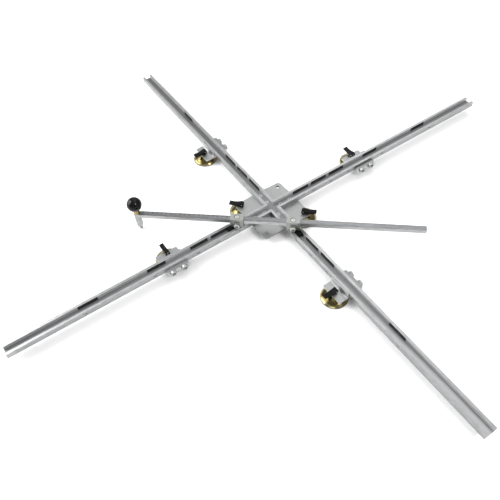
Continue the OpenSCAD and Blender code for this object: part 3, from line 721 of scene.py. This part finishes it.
def knurled_heads():
    """Fine ribs round the heads of the jaw bolts."""
    ribs, foot, crest = 60, 6.45 * MM, 6.62 * MM
    start, length = 0.5 * MM, 4 * MM
    half_rib = math.pi / ribs / 2
    outwards = Vector((0, -1, 0))
    for name, (place, turn) in CARRIERS.items():
        bm = bmesh.new()
        for side in (-1, 1):
            head = Vector((side * BOLT_PLACE, -JAW_OUTSIDE, BOLT_HEIGHT)) + outwards * start
            for i in range(ribs):
                middle = 2 * math.pi * i / ribs
                corners = ((middle - half_rib, foot), (middle, crest), (middle + half_rib, foot))
                outline = [head + Vector((math.cos(a), 0, math.sin(a))) * radius for a, radius in corners]
                prism(bm, outline, outwards * length)
        finish_piece(
            "knurl_" + name, bm, MATERIALS["zinc_steel"], "carrier_" + name, smooth=False,
            move=Matrix.Translation(place) @ Matrix.Rotation(turn, 4, "Z"))


def number_mesh(bm, text, size, place):
    """Adds a number of thin ink, moved by a matrix, to a bmesh."""
    curve = bpy.data.curves.new("number", type="FONT")
    curve.body = text
    curve.size = size
    curve.align_x = "CENTER"
    curve.resolution_u = 3
    curve.extrude = INK_DEPTH / 2
    curve.offset = BOLDNESS * size
    holder = bpy.data.objects.new("number", curve)
    bpy.context.scene.collection.objects.link(holder)
    bpy.context.view_layer.update()
    mesh = holder.evaluated_get(bpy.context.evaluated_depsgraph_get()).to_mesh()
    mesh.transform(place)
    bm.from_mesh(mesh)
    bpy.data.objects.remove(holder)
    bpy.data.curves.remove(curve)


def frame_matrix(place, right, up, out):
    """Matrix that moves X to right, Y to up and Z to out, with its origin at a place."""
    return Matrix.Translation(place) @ Matrix((right, up, out)).transposed().to_4x4()


def rail_scales():
    """Ticks and plain numbers on the near outer walls of both rails, at the outer ends of the strips."""
    from_end, tick_top = 4 * MM, UP * 29.6 * MM
    long_foot, long_width = UP * 24.0 * MM, 0.7 * MM
    short_foot, short_width, short_count, short_pitch = UP * 27.4 * MM, 0.4 * MM, 4, 10 * MM
    number_size, number_shift, number_foot = 6 * MM, 4.6 * MM, UP * 22.6 * MM
    first_number, number_step = 10, 5
    for rail, (along, across) in RAILS.items():
        normal = -across
        right = UP.cross(normal)
        bm = bmesh.new()
        for side in (-1, 1):
            outwards = along * side
            for step in STRIP_STEPS[rail]:
                distance = STRIP_FIRST_END + STRIP_PITCH * step - from_end
                middle = outwards * distance + normal * (RAIL_HALF + INK_LIFT)
                ribbon(bm, middle + long_foot, middle + tick_top, long_width, normal)
                for k in range(1, short_count + 1):
                    tick = middle - outwards * short_pitch * k
                    ribbon(bm, tick + short_foot, tick + tick_top, short_width, normal)
                place = frame_matrix(middle + right * number_shift + number_foot, right, UP, normal)
                number_mesh(bm, str(first_number + number_step * step), number_size, place)
        bmesh.ops.remove_doubles(bm, verts=bm.verts, dist=WELD)
        finish_piece("scale_" + rail, bm, RAIL_INK, "cross", smooth=False)


def bar_scale():
    """Engraved ticks and plain numbers on the bar's top, from the cutter inwards."""
    ticks, first, pitch, width = 37, 14 * MM, 5 * MM, 0.6 * MM
    long_tick, short_tick, from_edge = 5 * MM, 3 * MM, 0.8 * MM
    number_size, number_shift = 5.6 * MM, 0.6 * MM
    lift = 0.015 * MM
    bm = bmesh.new()
    for i in range(ticks):
        distance = first + pitch * i - CUTTER_RADIUS
        middle = PIVOT_A + BAR_DIRECTION * distance + UP * (BAR_TOP + lift)
        near = middle - BAR_ACROSS * (BAR_HALF - from_edge)
        is_long = i % 2 == 0
        ribbon(bm, near, near + BAR_ACROSS * (long_tick if is_long else short_tick), width, UP)
        if is_long:
            place = frame_matrix(middle + BAR_ACROSS * number_shift, BAR_DIRECTION, BAR_ACROSS, UP)
            number_mesh(bm, str(i // 2), number_size, place)
    bmesh.ops.remove_doubles(bm, verts=bm.verts, dist=WELD)
    finish_piece("scale_bar", bm, BAR_INK, "bar", smooth=False)


def strip_shadow_path(lift):
    """Points of (across, height) down the groove's far wall and onto its floor, lifted off both."""
    wall, floor = GROOVE_HALF - lift, GROOVE_FLOOR + lift
    bend = 0.12 * MM
    return [
        (wall, RAIL_TOP - 0.25 * MM), (wall, GROOVE_FLOOR + 0.5 * MM), (wall - bend, floor + bend),
        (GROOVE_HALF - 0.5 * MM, floor), (GROOVE_HALF - 1.4 * MM, floor)
    ]


def strip_shadow_sheets():
    """Black sheet over each marker strip that widens it with painted shadow: down the groove's far wall and
    onto a narrow edge of its floor.
    """
    outer, inner = strip_shadow_path(0.05 * MM), strip_shadow_path(0.02 * MM)
    section = outer + inner[::-1]
    count = len(section)
    steps = 7
    for rail, (along, across) in RAILS.items():
        bm = bmesh.new()
        for side in (-1, 1):
            for step in STRIP_STEPS[rail]:
                start = STRIP_FIRST_END + STRIP_PITCH * step - STRIP_LENGTH
                rows = []
                for k in range(steps + 1):
                    middle = along * side * (start + STRIP_LENGTH * k / steps)
                    rows.append([bm.verts.new(middle + across * y + UP * z) for y, z in section])
                for one, two in zip(rows, rows[1:]):
                    for i in range(count):
                        j = (i + 1) % count
                        bm.faces.new([one[i], one[j], two[j], two[i]])
                for row in (rows[0], rows[-1]):
                    for i in range(len(outer) - 1):
                        bm.faces.new([row[i], row[i + 1], row[count - 2 - i], row[count - 1 - i]])
        finish_piece("strip_shadow_" + rail, bm, MATERIALS["black_strip"], "cross")


def hole_rims():
    """Bright bevelled edges of the plate's two free holes."""
    section = [(3.75, 0.02), (4.9, 0.02), (4.9, 0.06), (4.6, 0.1), (3.9, 0.02)]
    bm = bmesh.new()
    for side in (-1, 1):
        place = Vector((side * PLATE_CORNER, side * PLATE_CORNER, PLATE_SEAT))
        lathe(bm, section, place, steps=48)
    finish_piece("hole_rims", bm, MATERIALS["zinc_steel"], "cross", smooth=False)


def slot_loop(middle, half, radius):
    """Points round a level slot with round ends, in a clamp's near face."""
    steps = 12
    points = []
    for end in (1, -1):
        for i in range(steps + 1):
            a = math.pi * i / steps - end * math.pi / 2
            along = end * half + radius * math.cos(a)
            points.append(middle + BAR_DIRECTION * along + UP * radius * math.sin(a))
    return points


def clamp_slot_shadows():
    """A raised rim round a dark patch in each clamp block's near face; the patch paints the shadow in an
    adjusting slot.
    """
    half, radius, rim, height = 4.2 * MM, 1.2 * MM, 0.45 * MM, 47.2 * MM
    rings = ((rim, 0.01 * MM), (rim / 2, 0.12 * MM), (0.0, 0.03 * MM))
    for name, distance in (("a", 0.0), ("b", PIVOT_SPACING)):
        middle = PIVOT_A + BAR_DIRECTION * distance - BAR_ACROSS * CLAMP_HALF_DEPTH + UP * height
        bm = bmesh.new()
        loops = []
        for grow, lift in rings:
            points = slot_loop(middle - BAR_ACROSS * lift, half, radius + grow)
            loops.append([bm.verts.new(point) for point in points])
        for low, high in zip(loops, loops[1:]):
            for i, corner in enumerate(low):
                j = (i + 1) % len(low)
                bm.faces.new([corner, low[j], high[j], high[i]])
        bm.faces.new(loops[-1])
        bm.faces.new(loops[0])
        finish_piece("slot_" + name, bm, SEAM_AND_SHADOW_INK, "clamp_" + name, smooth=False)


def mitre_seams():
    """Dark joints where the four arms meet: on the rims, the floor and in the outer corners."""
    rim, floor = UP * (RAIL_TOP + INK_LIFT), UP * (GROOVE_FLOOR + INK_LIFT)
    gap, leg = 0.15 * MM, 0.7 * MM
    bm = bmesh.new()
    for x in (-1, 1):
        for y in (-1, 1):
            way = Vector((x, y, 0))
            ribbon(bm, way * GROOVE_HALF + rim, way * RAIL_HALF + rim, SEAM_WIDTH, UP)
            ribbon(bm, way * gap + floor, way * GROOVE_HALF + floor, SEAM_WIDTH, UP)
            corner = way * RAIL_HALF + UP * RAIL_BOTTOM
            outline = [corner, corner + Vector((x * leg, 0, 0)), corner + Vector((0, y * leg, 0))]
            prism(bm, outline, UP * (RAIL_TOP - RAIL_BOTTOM))
    finish_piece("mitre_seams", bm, SEAM_AND_SHADOW_INK, "cross", smooth=False)


def paper_floor():
    """Pale floor just under the part."""
    bm = bmesh.new()
    corners = [(x * FLOOR_HALF, y * FLOOR_HALF, 0) for x, y in ((-1, -1), (1, -1), (1, 1), (-1, 1))]
    bm.faces.new([bm.verts.new(corner) for corner in corners])
    mesh = bpy.data.meshes.new("floor")
    bm.to_mesh(mesh)
    bm.free()
    mesh.materials.append(floor_paper("floor_paper"))
    floor = bpy.data.objects.new("floor", mesh)
    floor.location.z = -FLOOR_GAP
    bpy.context.scene.collection.objects.link(floor)


def soft_box(name, place, target, size, power, spread):
    """Square area lamp that looks at a point."""
    light = bpy.data.lights.new(name, "AREA")
    light.shape = "SQUARE"
    light.size = size
    light.energy = power
    light.spread = math.radians(spread)
    lamp = bpy.data.objects.new(name, light)
    lamp.location = place
    lamp.rotation_mode = "QUATERNION"
    lamp.rotation_quaternion = (Vector(place) - Vector(target)).to_track_quat("Z", "Y")
    bpy.context.scene.collection.objects.link(lamp)


def studio():
    """Pale floor, an even white world and the soft boxes."""
    paper_floor()
    world = bpy.data.worlds.new("studio")
    world.use_nodes = True
    background = world.node_tree.nodes["Background"]
    background.inputs["Color"].default_value = (1.0, 1.0, 1.0, 1.0)
    background.inputs["Strength"].default_value = WORLD_STRENGTH
    bpy.context.scene.world = world
    for name, settings in SOFT_BOXES.items():
        soft_box(name, *settings)
    bpy.context.scene.view_settings.view_transform = "Standard"


def camera():
    """Camera at the photograph's angle, for a square frame."""
    data = bpy.data.cameras.new("camera")
    data.sensor_fit = "HORIZONTAL"
    data.sensor_width = SENSOR_WIDTH
    data.lens = SENSOR_WIDTH * FOCAL_PIXELS / PHOTO_WIDTH
    data.clip_start, data.clip_end = CLIP_RANGE
    right = CAMERA_FORWARD.cross(CAMERA_UP).normalized()
    up = right.cross(CAMERA_FORWARD)
    eye = bpy.data.objects.new("camera", data)
    eye.matrix_world = frame_matrix(CAMERA_PLACE, right, up, -CAMERA_FORWARD)
    bpy.context.scene.collection.objects.link(eye)
    bpy.context.scene.camera = eye


camera()
dress_solids()
pads()
rim_lips()
wear_washers()
knurled_heads()
rail_scales()
bar_scale()
strip_shadow_sheets()
hole_rims()
clamp_slot_shadows()
mitre_seams()
studio()
